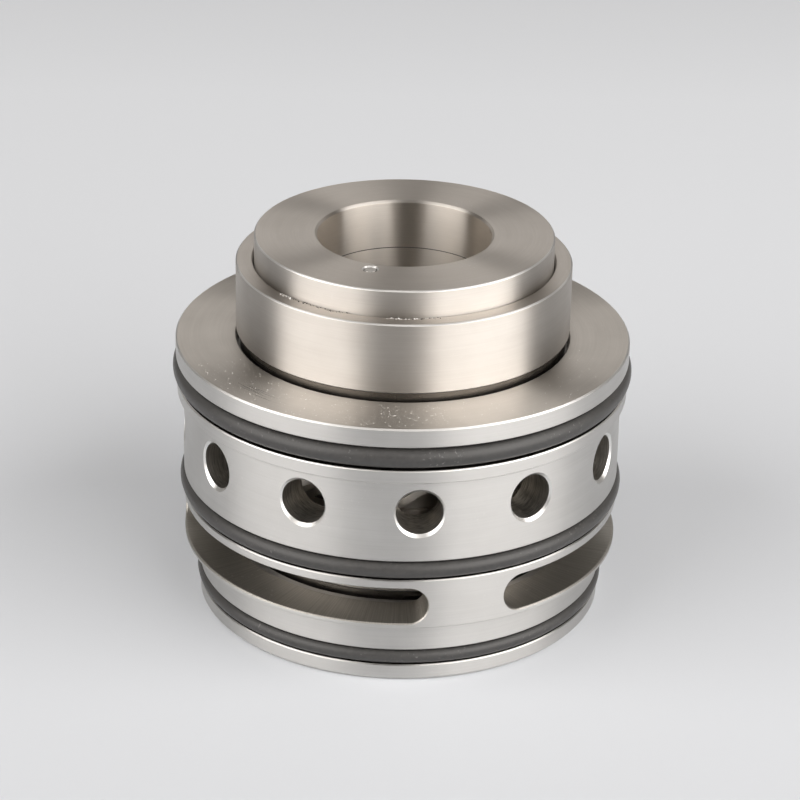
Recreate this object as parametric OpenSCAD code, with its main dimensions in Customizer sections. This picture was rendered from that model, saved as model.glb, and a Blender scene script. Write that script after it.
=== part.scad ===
// Cartridge mechanical seal: two spring-loaded face seals in line on one shaft sleeve,
// in a three-piece housing with flow ports and slots.
// The foot ring stands on z = 0, the seal's axis is z and the front is -y.
// Angles are turned from the front towards +x.

/* [Shaft sleeve] */
// Diameter of the shaft that the sleeve is bored for
shaft_d = 45; // [44:0.25:45.5]
// Wall of the sleeve
sleeve_wall = 7.5; // [7.2:0.1:7.8]
// Length of the sleeve below its retaining ring
sleeve_end_h = 1.5; // [1.2:0.1:1.8]
// Height of the sleeve's drive flange, which carries the lower springs
drive_flange_h = 8; // [7.5:0.25:9]
// Section of the O-rings between shaft and sleeve
shaft_cord = 2.4; // [2:0.1:2.8]
// Height of the lower shaft O-ring above the base
lower_shaft_ring_z = 12; // [9:0.5:30]
// Distance of the upper shaft O-ring below the sleeve's top
upper_shaft_ring_drop = 16; // [14:0.5:30]

/* [Gland flange] */
// Step from the port housing out to the flange
flange_step = 1.7; // [1.2:0.05:3]
// Thickness of the flange's rim
flange_h = 5.1; // [4:0.1:7]
// Step from the port housing out to the land under the flange groove
land_step = 1.45; // [0.5:0.05:2.5]
// Height of the land under the flange groove
land_h = 3.6; // [3:0.1:6]
// Section of the flange O-ring
flange_cord = 5.4; // [4.8:0.1:5.8]
// Width of the flange groove
flange_groove_w = 6.3; // [6:0.1:7.5]
// Depth of the flange groove below the rim
flange_groove_depth = 4.6; // [4:0.1:5]

/* [Port housing] */
// Width of the chamber between the lower collar and the port housing
chamber_w = 3.05; // [2.5:0.05:6]
// Wall of the port housing
body_wall = 11; // [10:0.25:14]
// Height of the band with the ports, from the waist groove to the gland flange
port_band_h = 22.35; // [21.5:0.1:28]
// Diameter of a port
port_d = 11.9; // [9:0.1:13]
// Width of the cone at a port's mouth
port_cone = 0.8; // [0.4:0.1:1.2]
// Number of ports
port_count = 12; // [6:1:14]
// Distance of the ports' centres below the gland flange's joint
port_drop = 8.9; // [8.3:0.1:10]
// Angle of the first port
port_turn = 5; // [0:1:30]
// Height of a slot
slot_h = 9.8; // [8:0.2:11]
// Number of slots
slot_count = 3; // [2:1:4]
// Angle of the web left between two slots
slot_web_angle = 20.4; // [16:0.2:30]
// Angle of the first web's middle
slot_turn = 17.7; // [0:0.1:60]
// Thickness of the slots' floor above the foot ring
slot_floor_h = 1.4; // [1.2:0.1:3]
// Height of the land between the slots and the waist groove
slot_land_h = 2.55; // [2:0.05:5]
// Section of the waist O-ring
waist_cord = 4.5; // [4:0.1:4.8]
// Width of the waist groove
waist_groove_w = 5.2; // [5:0.1:6]
// Depth of the waist groove
waist_groove_depth = 3.5; // [3:0.1:3.8]

/* [Foot ring] */
// Step from the port housing in to the foot ring
foot_step = 3.9; // [3:0.1:4.2]
// Height of the foot ring
foot_h = 17.4; // [17:0.1:20]
// Height of the land under the foot groove
foot_land_h = 4.6; // [3.5:0.1:5.5]
// Section of the foot O-ring
foot_cord = 3.7; // [3.3:0.1:4]
// Width of the foot groove
foot_groove_w = 4.3; // [4.1:0.1:5]
// Depth of the foot groove
foot_groove_depth = 3; // [2.6:0.1:3.2]
// Width of the rim that the seal stands on
foot_rim_w = 7.6; // [6:0.1:9]
// Height of the joint tongue of the port housing in the foot ring
tongue_h = 5.4; // [4:0.1:6]
// Thickness of the joint tongue
tongue_w = 3; // [2.5:0.1:3.2]

/* [Collars] */
// Width of a collar's top face round its mouth
collar_lip_w = 4.35; // [4.1:0.05:6]
// Height of a collar above its neck
collar_h = 18.7; // [17.5:0.1:20]
// Height of a collar's lower edge above the housing face under it
collar_lift = 2.1; // [1.5:0.1:2.5]
// Step from the collar to its neck
neck_step = 1.05; // [0.9:0.05:1.3]
// Length of the neck
neck_h = 5.3; // [4.5:0.1:5.8]
// Wall of the neck round the rotating ring
neck_wall = 1.9; // [1.6:0.1:2.1]
// Thickness of the collar's web
collar_web_h = 6.5; // [6:0.1:7]
// Section of the O-ring between collar and sleeve
slide_cord = 2.6; // [2.4:0.1:2.8]

/* [Top ring] */
// Width of the drive faces, which carry springs and pins, outside the collar's O-ring
drive_face_w = 5.8; // [5.2:0.1:8]
// Height of the top ring above the upper collar
top_ring_proud = 7; // [5:0.1:10]
// Depth of the joint with the sleeve below the top face
top_ring_bore_h = 13.3; // [12.9:0.1:13.8]
// Diameter of the pin in the top face
top_pin_d = 3.6; // [3:0.1:4]
// Length of the pin in the top face
top_pin_h = 20; // [16:0.5:22]
// Angle of the pin in the top face
top_pin_turn = -18.6; // [-60:0.1:60]

/* [Seal faces] */
// Height of a rotating ring
ring_h = 10; // [9.5:0.1:10.5]
// Height of a seat
seat_h = 7; // [6:0.1:7.5]
// Width of the sealing face
face_w = 3.4; // [2.5:0.1:3.6]
// Height of the sealing nose
nose_h = 1.5; // [1:0.1:2.5]
// Section of the O-rings behind rings and seats
face_cord = 3.1; // [2.8:0.1:3.3]
// Diameter of a seat pin
seat_pin_d = 2.5; // [2:0.1:3]

/* [Springs and drive pins] */
// Number of springs under each drive face
spring_count = 6; // [3:1:9]
// Outer diameter of a spring
spring_d = 4; // [3.4:0.1:4.2]
// Wire of a spring
wire_d = 0.7; // [0.5:0.05:0.9]
// Turns of a spring
spring_turns = 4.5; // [3:0.5:6]
// Depth of the spring pockets
pocket_h = 6; // [4:0.25:6.5]
// Diameter of a drive pin
drive_pin_d = 3; // [2.6:0.1:3.2]
// Gap between a collar's web and the drive face above it
drive_gap = 2.3; // [2:0.1:2.8]

/* [Circulation ring] */
// Wall of the circulation ring's hub
hub_wall = 7.5; // [5:0.25:9]
// Number of vanes
vane_count = 12; // [6:1:14]
// Thickness of a vane
vane_t = 2; // [1.5:0.1:3]
// Slant of the vanes
vane_slant = 33; // [25:1:45]
// Angle of the first vane
vane_turn = 6; // [0:1:30]

/* [Hidden] */
$fn = 96;

steel = [0.72, 0.71, 0.68];
warm_steel = [0.66, 0.63, 0.58];
carbide = [0.28, 0.28, 0.30];
black_rubber = [0.17, 0.17, 0.17];

edge = 0.4;
fine_edge = 0.3;
foot_edge = 0.9;
bore_edge = 0.6;
over = 1;
vane_inset = 0.3;
slot_end_swell = 1.01;

// Clearances
slide_gap = 0.4;
seal_gap = 0.3;
ledge_gap = 0.4;
neck_gap = 0.9;
seat_gap = 0.3;
face_bore_gap = 1.6;
web_bore_gap = 1.4;
neck_end_gap = 0.5;
ledge_drop = 1.2;
pin_gap = 0.4;
pocket_gap = 0.25;
vane_gap = 1;
port_spigot_gap = 0.6;
boss_drop = 0.8;
seat_step = 0.5;
nose_step = 2.2;
cord_sink = 0.1;
groove_room = 1.4;
slide_groove_room = 1.15;
touch = 0.01;

// Heights of the housing, from the base up
slot_z0 = foot_h + slot_floor_h;
slot_z1 = slot_z0 + slot_h;
waist_z0 = slot_z1 + slot_land_h;
waist_z1 = waist_z0 + waist_groove_w;
joint_z = waist_z1 + port_band_h;
flange_groove_z0 = joint_z + land_h;
flange_groove_z1 = flange_groove_z0 + flange_groove_w;
flange_z = flange_groove_z1 + flange_h;
foot_groove_z1 = foot_land_h + foot_groove_w;
boss_z = slot_z0 - boss_drop;
tongue_z = foot_h - tongue_h;

// Each seal unit is drawn with z = 0 at its collar's lower edge, and stands at one of these
upper_z = flange_z + collar_lift;
lower_z = boss_z + collar_lift;

// Heights within a seal unit
face_u = -neck_h - neck_end_gap;
web_u = face_u + ring_h;
web_top_u = web_u + collar_web_h;
drive_u = web_top_u + drive_gap;
slide_ring_u = (web_u + web_top_u) / 2;
pocket_u = face_u - seat_h;
gland_web_h = 3;
under_u = pocket_u - gland_web_h;
seat_ledge_u = -neck_h - ledge_drop;

// Radii, from the shaft outwards
shaft_r = shaft_d / 2;
sleeve_r = shaft_r + sleeve_wall;
collar_bore_r = sleeve_r + slide_gap;
slide_groove_r = sleeve_r + seal_gap + slide_cord;
top_ring_r = slide_groove_r + drive_face_w;
drive_r = (slide_groove_r + top_ring_r) / 2;
mouth_r = top_ring_r + ledge_gap;
collar_r = mouth_r + collar_lip_w;
neck_r = collar_r - neck_step;
cavity_r = neck_r - neck_wall;
gland_bore_r = neck_r + neck_gap;
seat_pocket_r = cavity_r - seat_step;
seat_r = seat_pocket_r - seat_gap;
ring_r = cavity_r - seat_gap;
face_bore_r = sleeve_r + face_bore_gap;
web_bore_r = sleeve_r + web_bore_gap;
nose_r0 = face_bore_r + nose_step;
nose_r1 = nose_r0 + face_w;
body_bore_r = collar_r + chamber_w;
body_r = body_bore_r + body_wall;
flange_r = body_r + flange_step;
land_r = body_r + land_step;
foot_r = body_r - foot_step;
tongue_r = body_bore_r + tongue_w;
spigot_wall = 3.5;
sleeve_spigot_w = 3.8;

// Sleeve and top ring
top_z = upper_z + collar_h + top_ring_proud;
sleeve_top_z = top_z - top_ring_bore_h;
shoulder_z = upper_z + web_top_u;
spigot_r = shaft_r + sleeve_spigot_w;
top_pin_r = spigot_r;
top_pin_sink = 0.2;
top_pin_edge = 0.4;
drive_flange_z0 = lower_z + drive_u;
drive_flange_z1 = drive_flange_z0 + drive_flange_h;
shaft_groove_r = shaft_r + cord_sink + shaft_cord;
shaft_groove_w = shaft_cord * groove_room;
upper_shaft_ring_z = sleeve_top_z - upper_shaft_ring_drop;

// Retaining ring on the sleeve's lower end
clip_t = 1.6;
clip_groove_depth = 1.5;
clip_proud = 3.6;
clip_gap = 0.4;
clip_z = lower_z + under_u - clip_gap - clip_t;
sleeve_z0 = clip_z - sleeve_end_h;
clip_r0 = sleeve_r - clip_groove_depth;
clip_r1 = sleeve_r + clip_proud;
clip_slit = 7;
clip_hole_d = 2;
clip_ear_w = 4.4;
clip_hole_x = (clip_slit + clip_ear_w) / 2;

// Joint O-rings
joint_cord = 1.9;
joint_groove_w = 2.3;
gland_joint_r = (body_bore_r + body_r) / 2;
foot_joint_r = (tongue_r + foot_r) / 2;

// Drive pins and seat pins
drive_pin_count = 3;
drive_pin_reach = 3.7;
drive_pin_turn = 30;
seat_pin_count = 2;
seat_pin_r = (face_bore_r + seat_pocket_r - face_cord) / 2;
seat_pin_set = 2;
seat_pin_reach = 2.6;

// Circulation ring
hub_z0 = drive_flange_z1;
spigot_z = joint_z - (port_drop - port_d / 2 - port_spigot_gap);
hub_z1 = spigot_z - vane_gap;
hub_r = sleeve_r + hub_wall;
vane_r = collar_r;
screw_count = 3;
screw_d = 4;
screw_socket = 2;
screw_turn = vane_turn + 180 / vane_count;

// A solid of revolution about the axis
module turned(outline) {
    rotate_extrude()
        polygon(outline);
}

// Copies spread evenly round the axis, the first at the given angle from the front
module around(count, turn) {
    for (i = [0 : count - 1])
        rotate([0, 0, turn + i * 360 / count])
            children();
}

// O-ring with its centre circle at radius r
module o_ring(r, cord, z) {
    color(black_rubber)
        translate([0, 0, z])
            rotate_extrude()
                translate([r, 0])
                    circle(d = cord, $fn = 32);
}

// Groove in a face that looks along z, with its bottom or top at z
module face_groove(r, w, z, h) {
    turned([[r - w / 2, z], [r + w / 2, z], [r + w / 2, z + h], [r - w / 2, z + h]]);
}

// Round hole along -y with a cone at its mouth, where the wall's outside lies at radius r
module mouthed_hole(d, cone, r, depth) {
    rotate([90, 0, 0]) {
        translate([0, 0, r - depth])
            cylinder(d = d, h = depth);
        translate([0, 0, r - cone])
            cylinder(d1 = d, d2 = d + 2 * (cone + over), h = cone + over);
    }
}

// One long slot between two webs, with a fine flare along its outer edge. Its round ends are
// a hair wider than the slot, as the cutter leaves them where it stops.
module slot_cut() {
    depth = body_wall + over;
    end_angle = asin(slot_h / 2 / body_r);
    first = slot_web_angle / 2 + end_angle;
    span = 360 / slot_count - 2 * first;
    z = (slot_z0 + slot_z1) / 2;
    rotate([0, 0, first - 90])
        rotate_extrude(angle = span)
            polygon([
                [body_r - depth, slot_z0],
                [body_r - fine_edge, slot_z0],
                [body_r + over, slot_z0 - fine_edge - over],
                [body_r + over, slot_z1 + fine_edge + over],
                [body_r - fine_edge, slot_z1],
                [body_r - depth, slot_z1]]);
    for (angle = [first, first + span])
        rotate([0, 0, angle])
            translate([0, 0, z])
                mouthed_hole(slot_h * slot_end_swell, fine_edge, body_r, depth);
}

// Space in the gland flange and in the foot ring that takes a seat and a collar's neck
module seat_space() {
    turned([
        [0, under_u - over],
        [web_bore_r, under_u - over],
        [web_bore_r, pocket_u],
        [seat_pocket_r, pocket_u],
        [seat_pocket_r, seat_ledge_u],
        [gland_bore_r, seat_ledge_u],
        [gland_bore_r, -collar_lift - edge],
        [gland_bore_r + edge, -collar_lift],
        [gland_bore_r + edge, -collar_lift + over],
        [0, -collar_lift + over]]);
    around(seat_pin_count, 0)
        translate([0, -seat_pin_r, pocket_u - seat_pin_set])
            cylinder(d = seat_pin_d, h = seat_pin_set + over);
}

module gland_flange() {
    color(steel)
        difference() {
            turned([
                [0, upper_z + under_u],
                [body_bore_r - spigot_wall, upper_z + under_u],
                [body_bore_r - spigot_wall, spigot_z],
                [body_bore_r, spigot_z],
                [body_bore_r, joint_z],
                [land_r - fine_edge, joint_z],
                [land_r, joint_z + fine_edge],
                [land_r, flange_groove_z0 - fine_edge],
                [land_r - fine_edge, flange_groove_z0],
                [flange_r - flange_groove_depth, flange_groove_z0],
                [flange_r - flange_groove_depth, flange_groove_z1],
                [flange_r - fine_edge, flange_groove_z1],
                [flange_r, flange_groove_z1 + fine_edge],
                [flange_r, flange_z - edge],
                [flange_r - edge, flange_z],
                [0, flange_z]]);
            translate([0, 0, upper_z])
                seat_space();
            face_groove(gland_joint_r, joint_groove_w, joint_z - over, joint_cord + over);
        }
}

module port_housing() {
    color(steel)
        difference() {
            turned([
                [body_bore_r, tongue_z],
                [tongue_r, tongue_z],
                [tongue_r, foot_h],
                [body_r - fine_edge, foot_h],
                [body_r, foot_h + fine_edge],
                [body_r, waist_z0 - fine_edge],
                [body_r - fine_edge, waist_z0],
                [body_r - waist_groove_depth, waist_z0],
                [body_r - waist_groove_depth, waist_z1],
                [body_r - fine_edge, waist_z1],
                [body_r, waist_z1 + fine_edge],
                [body_r, joint_z],
                [body_bore_r, joint_z]]);
            around(port_count, port_turn)
                translate([0, 0, joint_z - port_drop])
                    mouthed_hole(port_d, port_cone, body_r, body_wall + over);
            around(slot_count, slot_turn)
                slot_cut();
        }
}

module foot_ring() {
    color(steel)
        difference() {
            turned([
                [foot_r - foot_rim_w, 0],
                [foot_r - foot_edge, 0],
                [foot_r, foot_edge],
                [foot_r, foot_land_h - fine_edge],
                [foot_r - fine_edge, foot_land_h],
                [foot_r - foot_groove_depth, foot_land_h],
                [foot_r - foot_groove_depth, foot_groove_z1],
                [foot_r - fine_edge, foot_groove_z1],
                [foot_r, foot_groove_z1 + fine_edge],
                [foot_r, foot_h],
                [tongue_r, foot_h],
                [tongue_r, tongue_z],
                [body_bore_r, tongue_z],
                [body_bore_r, boss_z - fine_edge],
                [body_bore_r - fine_edge, boss_z],
                [0, boss_z],
                [0, lower_z + under_u],
                [foot_r - foot_rim_w, lower_z + under_u]]);
            translate([0, 0, lower_z])
                seat_space();
            face_groove(foot_joint_r, joint_groove_w, foot_h - joint_cord, joint_cord + over);
        }
}

module flange_o_ring() {
    o_ring(flange_r - flange_groove_depth + flange_cord / 2, flange_cord,
        (flange_groove_z0 + flange_groove_z1) / 2);
}

module waist_o_ring() {
    o_ring(body_r - waist_groove_depth + waist_cord / 2, waist_cord, (waist_z0 + waist_z1) / 2);
}

module foot_o_ring() {
    o_ring(foot_r - foot_groove_depth + foot_cord / 2, foot_cord,
        (foot_land_h + foot_groove_z1) / 2);
}

module gland_joint_o_ring() {
    o_ring(gland_joint_r, joint_cord, joint_z + joint_cord / 2);
}

module foot_joint_o_ring() {
    o_ring(foot_joint_r, joint_cord, foot_h - joint_cord / 2);
}

// Still face of a seal unit, stepped at its back for the O-ring
module seat(z) {
    step_r = seat_pocket_r - face_cord;
    step_u = pocket_u + face_cord + edge;
    color(carbide)
        translate([0, 0, z])
            difference() {
                turned([
                    [face_bore_r, pocket_u],
                    [step_r, pocket_u],
                    [step_r, step_u],
                    [seat_r, step_u],
                    [seat_r, face_u - fine_edge],
                    [seat_r - fine_edge, face_u],
                    [face_bore_r + fine_edge, face_u],
                    [face_bore_r, face_u - fine_edge]]);
                around(seat_pin_count, 0)
                    translate([0, -seat_pin_r, pocket_u - over])
                        cylinder(d = seat_pin_d + pin_gap, h = seat_pin_reach + pin_gap + over);
            }
}

module seat_o_ring(z) {
    o_ring(seat_pocket_r - face_cord / 2, face_cord, z + pocket_u + face_cord / 2);
}

module seat_pins(z) {
    color(warm_steel)
        translate([0, 0, z + pocket_u - seat_pin_set])
            around(seat_pin_count, 0)
                translate([0, -seat_pin_r, 0])
                    cylinder(d = seat_pin_d, h = seat_pin_set + seat_pin_reach);
}

// Turning face of a seal unit, with its nose down and its back stepped for the O-ring
module rotating_ring(z) {
    step_r = cavity_r - face_cord;
    step_u = web_u - face_cord - edge;
    color(carbide)
        translate([0, 0, z])
            turned([
                [face_bore_r, face_u + nose_h],
                [nose_r0, face_u + nose_h],
                [nose_r0, face_u],
                [nose_r1, face_u],
                [nose_r1, face_u + nose_h],
                [ring_r - fine_edge, face_u + nose_h],
                [ring_r, face_u + nose_h + fine_edge],
                [ring_r, step_u],
                [step_r, step_u],
                [step_r, web_u],
                [face_bore_r, web_u]]);
}

module ring_o_ring(z) {
    o_ring(cavity_r - face_cord / 2, face_cord, z + web_u - face_cord / 2);
}

module collar_o_ring(z) {
    o_ring(slide_groove_r - slide_cord / 2, slide_cord, z + slide_ring_u);
}

// Collar of a seal unit: mouth for the drive face above, web on the sleeve, cavity for the ring
module collar(z) {
    groove_h = slide_cord * slide_groove_room;
    color(warm_steel)
        translate([0, 0, z])
            difference() {
                turned([
                    [cavity_r, -neck_h],
                    [neck_r - fine_edge, -neck_h],
                    [neck_r, -neck_h + fine_edge],
                    [neck_r, 0],
                    [collar_r - edge, 0],
                    [collar_r, edge],
                    [collar_r, collar_h - edge],
                    [collar_r - edge, collar_h],
                    [mouth_r + fine_edge, collar_h],
                    [mouth_r, collar_h - fine_edge],
                    [mouth_r, web_top_u],
                    [collar_bore_r, web_top_u],
                    [collar_bore_r, slide_ring_u + groove_h / 2],
                    [slide_groove_r, slide_ring_u + groove_h / 2],
                    [slide_groove_r, slide_ring_u - groove_h / 2],
                    [collar_bore_r, slide_ring_u - groove_h / 2],
                    [collar_bore_r, web_u],
                    [cavity_r, web_u]]);
                around(drive_pin_count, drive_pin_turn)
                    translate([0, -drive_r, web_top_u - drive_pin_reach - over])
                        cylinder(d = drive_pin_d + 2 * pin_gap, h = drive_pin_reach + 2 * over);
            }
}

// Pockets in a drive face for the springs and the drive pins, open downwards
module drive_pockets(z) {
    translate([0, 0, z - over]) {
        around(spring_count, 0)
            translate([0, -drive_r, 0])
                cylinder(d = spring_d + 2 * pocket_gap, h = pocket_h + over);
        around(drive_pin_count, drive_pin_turn)
            translate([0, -drive_r, 0])
                cylinder(d = drive_pin_d, h = pocket_h + over);
    }
}

module drive_pins(z) {
    bottom_u = web_top_u - drive_pin_reach;
    color(warm_steel)
        around(drive_pin_count, drive_pin_turn)
            translate([0, -drive_r, z + bottom_u])
                cylinder(d = drive_pin_d, h = drive_u + pocket_h - bottom_u);
}

// Coil of round wire standing on z = 0, swept as one closed skin
module coil(d, wire, turns, h) {
    sides = 5;
    steps = round(turns * 10);
    mean_r = (d - wire) / 2;
    rise = (h - wire - 2 * touch) / steps;
    points = [
        for (i = [0 : steps], k = [0 : sides - 1])
            let (turn = 36 * i, round_wire = 360 * k / sides,
                r = mean_r + wire / 2 * cos(round_wire))
            [r * cos(turn), r * sin(turn),
                touch + wire / 2 * (1 + sin(round_wire)) + rise * i]];
    skin = [
        for (i = [0 : steps - 1], k = [0 : sides - 1])
            let (near = i * sides, far = near + sides, next = (k + 1) % sides)
            each [[near + k, far + k, far + next], [near + k, far + next, near + next]]];
    first_end = [for (k = [0 : sides - 1]) k];
    last_end = [for (k = [sides - 1 : -1 : 0]) steps * sides + k];
    polyhedron(points, concat(skin, [first_end, last_end]));
}

module springs(z) {
    color(steel)
        around(spring_count, 0)
            translate([0, -drive_r, z + web_top_u])
                coil(spring_d, wire_d, spring_turns, drive_gap + pocket_h);
}

module shaft_groove(z) {
    translate([0, 0, z - shaft_groove_w / 2])
        cylinder(r = shaft_groove_r, h = shaft_groove_w);
}

module shaft_sleeve() {
    color(warm_steel)
        difference() {
            turned([
                [shaft_r + bore_edge, sleeve_z0],
                [sleeve_r - edge, sleeve_z0],
                [sleeve_r, sleeve_z0 + edge],
                [sleeve_r, clip_z],
                [clip_r0, clip_z],
                [clip_r0, clip_z + clip_t],
                [sleeve_r, clip_z + clip_t],
                [sleeve_r, drive_flange_z0],
                [top_ring_r - edge, drive_flange_z0],
                [top_ring_r, drive_flange_z0 + edge],
                [top_ring_r, drive_flange_z1],
                [sleeve_r, drive_flange_z1],
                [sleeve_r, shoulder_z],
                [spigot_r, shoulder_z],
                [spigot_r, sleeve_top_z],
                [shaft_r, sleeve_top_z],
                [shaft_r, sleeve_z0 + bore_edge]]);
            drive_pockets(drive_flange_z0);
            shaft_groove(upper_shaft_ring_z);
            shaft_groove(lower_shaft_ring_z);
            top_pin_hole();
        }
}

module shaft_o_ring(z) {
    o_ring(shaft_groove_r - shaft_cord / 2, shaft_cord, z);
}

module top_pin_hole() {
    rotate([0, 0, top_pin_turn])
        translate([0, -top_pin_r, 0]) {
            translate([0, 0, top_z - top_pin_sink - top_pin_h])
                cylinder(d = top_pin_d, h = top_pin_h + over);
            translate([0, 0, top_z - top_pin_edge])
                cylinder(d1 = top_pin_d, d2 = top_pin_d + 2 * (top_pin_edge + over),
                    h = top_pin_edge + over);
        }
}

module top_ring() {
    color(warm_steel)
        difference() {
            turned([
                [spigot_r, shoulder_z],
                [sleeve_r, shoulder_z],
                [sleeve_r, upper_z + drive_u],
                [top_ring_r - edge, upper_z + drive_u],
                [top_ring_r, upper_z + drive_u + edge],
                [top_ring_r, top_z - edge],
                [top_ring_r - edge, top_z],
                [shaft_r + bore_edge, top_z],
                [shaft_r, top_z - bore_edge],
                [shaft_r, sleeve_top_z],
                [spigot_r, sleeve_top_z]]);
            drive_pockets(upper_z + drive_u);
            top_pin_hole();
        }
}

module top_ring_pin() {
    color(steel)
        rotate([0, 0, top_pin_turn])
            translate([0, -top_pin_r, top_z - top_pin_sink - top_pin_h]) {
                cylinder(d = top_pin_d, h = top_pin_h - top_pin_edge);
                translate([0, 0, top_pin_h - top_pin_edge])
                    cylinder(d1 = top_pin_d, d2 = top_pin_d - 2 * top_pin_edge, h = top_pin_edge);
            }
}

// One slanted vane, cut from a flat bar
module vane() {
    bar_l = 4 * (hub_z1 - hub_z0);
    bar_depth = vane_r - hub_r + 2 * hub_wall;
    translate([0, -vane_r, (hub_z0 + hub_z1) / 2])
        rotate([0, -vane_slant, 0])
            cube([bar_l, bar_depth, vane_t], center = true);
}

module circulation_ring() {
    color(warm_steel)
        difference() {
            union() {
                turned([[sleeve_r, hub_z0], [hub_r, hub_z0], [hub_r, hub_z1], [sleeve_r, hub_z1]]);
                around(vane_count, vane_turn)
                    intersection() {
                        turned([
                            [hub_r - edge, hub_z0 + vane_inset],
                            [vane_r, hub_z0 + vane_inset],
                            [vane_r, hub_z1 - vane_inset],
                            [hub_r - edge, hub_z1 - vane_inset]]);
                        vane();
                    }
            }
            around(screw_count, screw_turn)
                screw_place(hub_wall + over)
                    cylinder(d = screw_d, h = hub_wall + 2 * over);
        }
}

// Puts a screw's axis along -y at half height of the hub, its inner end at the sleeve
module screw_place(l) {
    translate([0, -sleeve_r + over, (hub_z0 + hub_z1) / 2])
        rotate([90, 0, 0])
            children();
}

module circulation_ring_screws() {
    color(steel)
        around(screw_count, screw_turn)
            screw_place(hub_wall)
                translate([0, 0, over + touch])
                    difference() {
                        cylinder(d = screw_d, h = hub_wall - edge);
                        translate([0, 0, hub_wall - edge - screw_socket])
                            cylinder(d = screw_socket, h = screw_socket + over, $fn = 6);
                    }
}

module retaining_ring() {
    color(steel)
        difference() {
            translate([0, 0, clip_z])
                cylinder(r = clip_r1, h = clip_t);
            translate([0, 0, clip_z - over])
                cylinder(r = clip_r0, h = clip_t + 2 * over);
            translate([-clip_slit / 2, 0, clip_z - over])
                cube([clip_slit, clip_r1 + over, clip_t + 2 * over]);
            for (side = [-1, 1])
                translate([side * clip_hole_x, sqrt(pow((sleeve_r + clip_r1) / 2, 2) - pow(clip_hole_x, 2)),
                    clip_z - over])
                    cylinder(d = clip_hole_d, h = clip_t + 2 * over);
        }
}

module upper_seat() { seat(upper_z); }
module lower_seat() { seat(lower_z); }
module upper_seat_o_ring() { seat_o_ring(upper_z); }
module lower_seat_o_ring() { seat_o_ring(lower_z); }
module upper_seat_pins() { seat_pins(upper_z); }
module lower_seat_pins() { seat_pins(lower_z); }
module upper_shaft_o_ring() { shaft_o_ring(upper_shaft_ring_z); }
module lower_shaft_o_ring() { shaft_o_ring(lower_shaft_ring_z); }
module upper_springs() { springs(upper_z); }
module lower_springs() { springs(lower_z); }
module upper_drive_pins() { drive_pins(upper_z); }
module lower_drive_pins() { drive_pins(lower_z); }
module upper_collar() { collar(upper_z); }
module lower_collar() { collar(lower_z); }
module upper_rotating_ring() { rotating_ring(upper_z); }
module lower_rotating_ring() { rotating_ring(lower_z); }
module upper_ring_o_ring() { ring_o_ring(upper_z); }
module lower_ring_o_ring() { ring_o_ring(lower_z); }
module upper_collar_o_ring() { collar_o_ring(upper_z); }
module lower_collar_o_ring() { collar_o_ring(lower_z); }

gland_flange();
port_housing();
foot_ring();
flange_o_ring();
waist_o_ring();
foot_o_ring();
gland_joint_o_ring();
foot_joint_o_ring();
upper_seat();
upper_seat_o_ring();
upper_seat_pins();
lower_seat();
lower_seat_o_ring();
lower_seat_pins();
shaft_sleeve();
top_ring();
top_ring_pin();
upper_shaft_o_ring();
lower_shaft_o_ring();
circulation_ring();
circulation_ring_screws();
upper_springs();
lower_springs();
upper_drive_pins();
lower_drive_pins();
retaining_ring();
upper_collar();
upper_rotating_ring();
upper_ring_o_ring();
upper_collar_o_ring();
lower_collar();
lower_rotating_ring();
lower_ring_o_ring();
lower_collar_o_ring();
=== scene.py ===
"""Dresses the cartridge seal: turned and drilled steel rings, cords, springs, dust, light and camera."""
import math
import bpy
import bmesh
from mathutils import Matrix, Vector


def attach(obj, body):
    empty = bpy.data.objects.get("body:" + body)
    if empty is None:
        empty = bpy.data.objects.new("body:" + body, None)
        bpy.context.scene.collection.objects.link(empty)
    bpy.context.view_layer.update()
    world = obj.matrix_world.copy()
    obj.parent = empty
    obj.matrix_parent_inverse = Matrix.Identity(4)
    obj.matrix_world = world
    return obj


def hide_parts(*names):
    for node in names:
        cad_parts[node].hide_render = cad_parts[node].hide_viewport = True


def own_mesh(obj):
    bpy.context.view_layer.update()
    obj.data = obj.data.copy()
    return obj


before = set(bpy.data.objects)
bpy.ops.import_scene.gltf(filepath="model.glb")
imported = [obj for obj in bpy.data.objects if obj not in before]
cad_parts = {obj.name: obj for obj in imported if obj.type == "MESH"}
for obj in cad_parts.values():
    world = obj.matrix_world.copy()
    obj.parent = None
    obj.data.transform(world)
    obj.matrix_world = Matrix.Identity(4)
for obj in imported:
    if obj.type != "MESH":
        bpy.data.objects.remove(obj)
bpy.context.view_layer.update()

MM = 0.001
RING_STEPS = 288
HOLE_SIDES = 72
ROUNDING_STEPS = 2
CORD_STEP = 10
WELD, CUTTER_WELD = 1e-7, 1e-6
SHARP_ANGLE = math.radians(50)
BEVEL_ANGLE = math.radians(15)
VANE_SHARP_ANGLE = math.radians(35)

# ---------------------------------------------------------------- sizes, in millimetres and degrees
FINE_EDGE, EDGE, BORE_BEVEL, SEAM_ROUNDING = 0.3, 0.4, 0.6, 0.12

# housing: radii, then heights over the floor
GLAND_BORE_R = 43.3
BODY_BORE_R = 46.5
BODY_R = 57.5
LAND_R = 58.95
FLANGE_R = 59.2
FOOT_R = 53.6
FOOT_WALL = 7.6
FOOT_BEVEL = 0.9
SPIGOT_WALL, SPIGOT_Z = 3.5, 56.4
TONGUE_R, TONGUE_Z = 49.5, 12.0
FLANGE_Z = 73.7
JOINT_Z = 58.7
FOOT_Z = 17.4
BOSS_Z = 18.0
FACE_GROOVE_DEPTH = 1.9
GLAND_FACE_GROOVE = (50.85, 53.15)
FOOT_FACE_GROOVE = (50.4, 52.7)

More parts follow.
